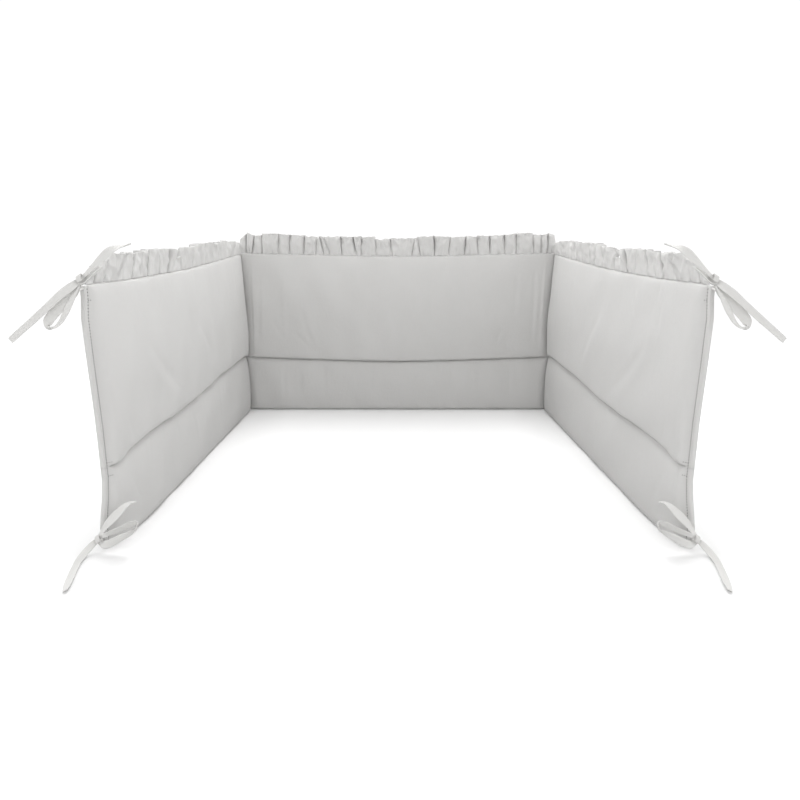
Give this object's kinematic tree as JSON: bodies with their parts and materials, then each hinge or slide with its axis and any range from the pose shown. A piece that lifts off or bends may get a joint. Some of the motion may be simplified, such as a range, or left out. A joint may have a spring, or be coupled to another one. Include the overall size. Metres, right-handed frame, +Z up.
{
  "type": "crib bumper",
  "caption": "Padded cotton crib bumper standing in a U, sewn across by a channel, with a gathered ruffle along the top and knotted fabric ties at its front ends.",
  "frame": {"origin": "on the surface it stands on, under the middle of the back panel, where its flat underside rests", "axes": "+Z up; +X to the right, along the back panel; +Y out of the back, so the open side of the U faces -Y"},
  "size_m": [0.828, 0.7156, 0.3504],
  "materials": {
    "panel_cotton": "light warm grey plain-weave cotton over soft filling, matte",
    "ruffle_cotton": "light warm grey plain-weave cotton, gathered, matte",
    "tie_cotton": "pale warm grey plain-weave cotton strip, pressed flat, matte"
  },
  "bodies": {
    "root": {"back_panel": "panel_cotton", "left_panel": "panel_cotton", "right_panel": "panel_cotton", "back_ruffle": "ruffle_cotton", "left_ruffle": "ruffle_cotton", "right_ruffle": "ruffle_cotton", "left_top_tie": "tie_cotton", "right_top_tie": "tie_cotton", "left_bottom_tie": "tie_cotton", "right_bottom_tie": "tie_cotton"}
  },
  "joints": []
}
